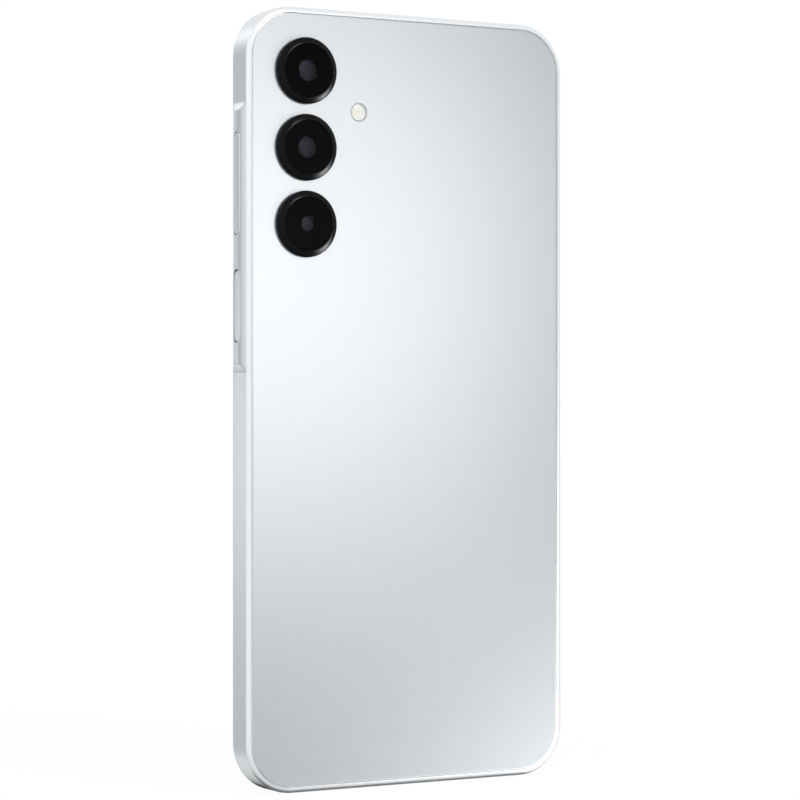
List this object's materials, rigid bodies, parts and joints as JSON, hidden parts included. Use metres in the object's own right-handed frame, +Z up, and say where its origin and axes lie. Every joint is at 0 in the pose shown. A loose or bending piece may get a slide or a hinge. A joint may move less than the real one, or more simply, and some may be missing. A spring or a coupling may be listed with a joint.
{
  "type": "smartphone",
  "caption": "Flat-sided smartphone with a glossy pale back, a column of raised rear lenses, a raised island of side keys and a pull-out card tray.",
  "frame": {"origin": "middle of the charging socket's mouth, on the bottom edge", "axes": "+Z up the long axis to the earpiece end, +Y out of the back, the screen faces -Y, +X to the side with the keys"},
  "size_m": [0.0786, 0.0094, 0.1644],
  "materials": {
    "frame_paint": "satin silver coating on moulded plastic",
    "back_panel": "glossy pearl coating on moulded plastic",
    "plate_alloy": "die-cast, satin",
    "cover_glass": "polished",
    "panel": "display film stack",
    "tape": "foam tape",
    "lens_metal": "glossy black",
    "lens_glass": "polished, black printed",
    "flash_plastic": "clear moulding",
    "led": "phosphor",
    "camera_body": "black moulded",
    "key_paint": "satin silver coating",
    "sensor": "moulded package",
    "steel": "stamped",
    "board": "solder mask",
    "chip": "moulded package",
    "pouch": "foil laminate pouch",
    "flex": "polyimide",
    "rubber_seal": "moulded",
    "inner_plastic": "moulded",
    "diaphragm": "film",
    "mesh": "woven screen",
    "magnet": "nickel plated",
    "brass_weight": "machined",
    "cable_black": "jacket",
    "graphite": "pressed sheet",
    "copper_coil": "etched copper",
    "mic_metal": "gold plated can"
  },
  "bodies": {
    "phone": {"outer_frame": "frame_paint", "mid_plate": "plate_alloy", "display_glass": "cover_glass", "display_panel": "panel", "display_tape": "tape", "back_cover": "back_panel", "back_cover_tape": "tape", "lens_rings": "lens_metal", "lens_cover_upper": "lens_glass", "lens_cover_middle": "lens_glass", "lens_cover_lower": "lens_glass", "flash_window": "flash_plastic", "flash_led": "led", "wide_camera": "camera_body", "main_camera": "camera_body", "macro_camera": "camera_body", "front_camera": "camera_body", "side_key_flex": "flex", "key_domes": "steel", "side_key_bracket": "steel", "main_board": "board", "board_chips": "chip", "shield_can": "steel", "battery": "pouch", "battery_tape": "tape", "battery_flex": "flex", "sub_board": "board", "usb_c_shell": "steel", "usb_c_tongue": "inner_plastic", "usb_c_seal": "rubber_seal", "bottom_microphone": "mic_metal", "top_microphone": "mic_metal", "speaker_box": "inner_plastic", "speaker_magnet": "magnet", "speaker_mesh": "mesh", "earpiece_case": "steel", "earpiece_mesh": "mesh", "vibration_motor": "steel", "main_flex": "flex", "antenna_cable": "cable_black", "display_flex": "flex", "card_reader": "steel", "upper_bracket": "inner_plastic", "lower_bracket": "inner_plastic", "screws": "steel", "graphite_sheet": "graphite", "nfc_coil": "copper_coil"},
    "volume_key": {"volume_key": "key_paint"},
    "power_key": {"power_key": "key_paint", "fingerprint_sensor": "sensor"},
    "focus_barrel": {"main_lens_barrel": "camera_body"},
    "speaker_cone": {"speaker_diaphragm": "diaphragm"},
    "earpiece_cone": {"earpiece_diaphragm": "diaphragm"},
    "rotor": {"vibration_rotor": "brass_weight"},
    "eject_rod": {"eject_rod": "steel"},
    "eject_lever": {"eject_lever": "steel"},
    "eject_slide": {"eject_slide": "steel"},
    "tray": {"card_tray": "key_paint", "card_tray_seal": "rubber_seal"}
  },
  "joints": [
    {"name": "volume_rock", "type": "hinge", "parent": "phone", "child": "volume_key", "pos_m": [0.03595, 0, 0.1272], "axis": [0, 1, 0], "range_deg": [-1, 1], "stiffness_Nm_per_rad": 1},
    {"name": "power_press", "type": "slide", "parent": "phone", "child": "power_key", "axis": [-1, 0, 0], "range_m": [0, 0.00025], "stiffness_N_per_m": 4000},
    {"name": "focus_travel", "type": "slide", "parent": "phone", "child": "focus_barrel", "axis": [0, 1, 0], "range_m": [0, 0.0003], "stiffness_N_per_m": 80},
    {"name": "speaker_stroke", "type": "slide", "parent": "phone", "child": "speaker_cone", "axis": [0, 1, 0], "range_m": [-0.00035, 0.00035], "stiffness_N_per_m": 600},
    {"name": "earpiece_stroke", "type": "slide", "parent": "phone", "child": "earpiece_cone", "axis": [0, 1, 0], "range_m": [-0.00015, 0.00015], "stiffness_N_per_m": 600},
    {"name": "rotor_spin", "type": "hinge", "parent": "phone", "child": "rotor", "pos_m": [-0.02755, 0, 0.0135], "axis": [0, 1, 0], "continuous": true},
    {"name": "eject_push", "type": "slide", "parent": "phone", "child": "eject_rod", "axis": [1, 0, 0], "range_m": [0, 0.0012]},
    {"name": "eject_turn", "type": "hinge", "parent": "phone", "child": "eject_lever", "pos_m": [-0.01023, 0, 0.1416], "axis": [0, 1, 0], "range_deg": [0, 17.7]},
    {"name": "eject_drive", "type": "slide", "parent": "phone", "child": "eject_slide", "axis": [-1, 0, 0], "range_m": [0, 0.00122]},
    {"name": "tray_slide", "type": "slide", "parent": "eject_slide", "child": "tray", "axis": [-1, 0, 0], "range_m": [0, 0.025]}
  ],
  "couplings": [
    {"joint": "eject_push", "follows": "eject_drive", "ratio": 0.98658},
    {"joint": "eject_turn", "follows": "eject_drive", "rad_per_m": 252.96}
  ]
}
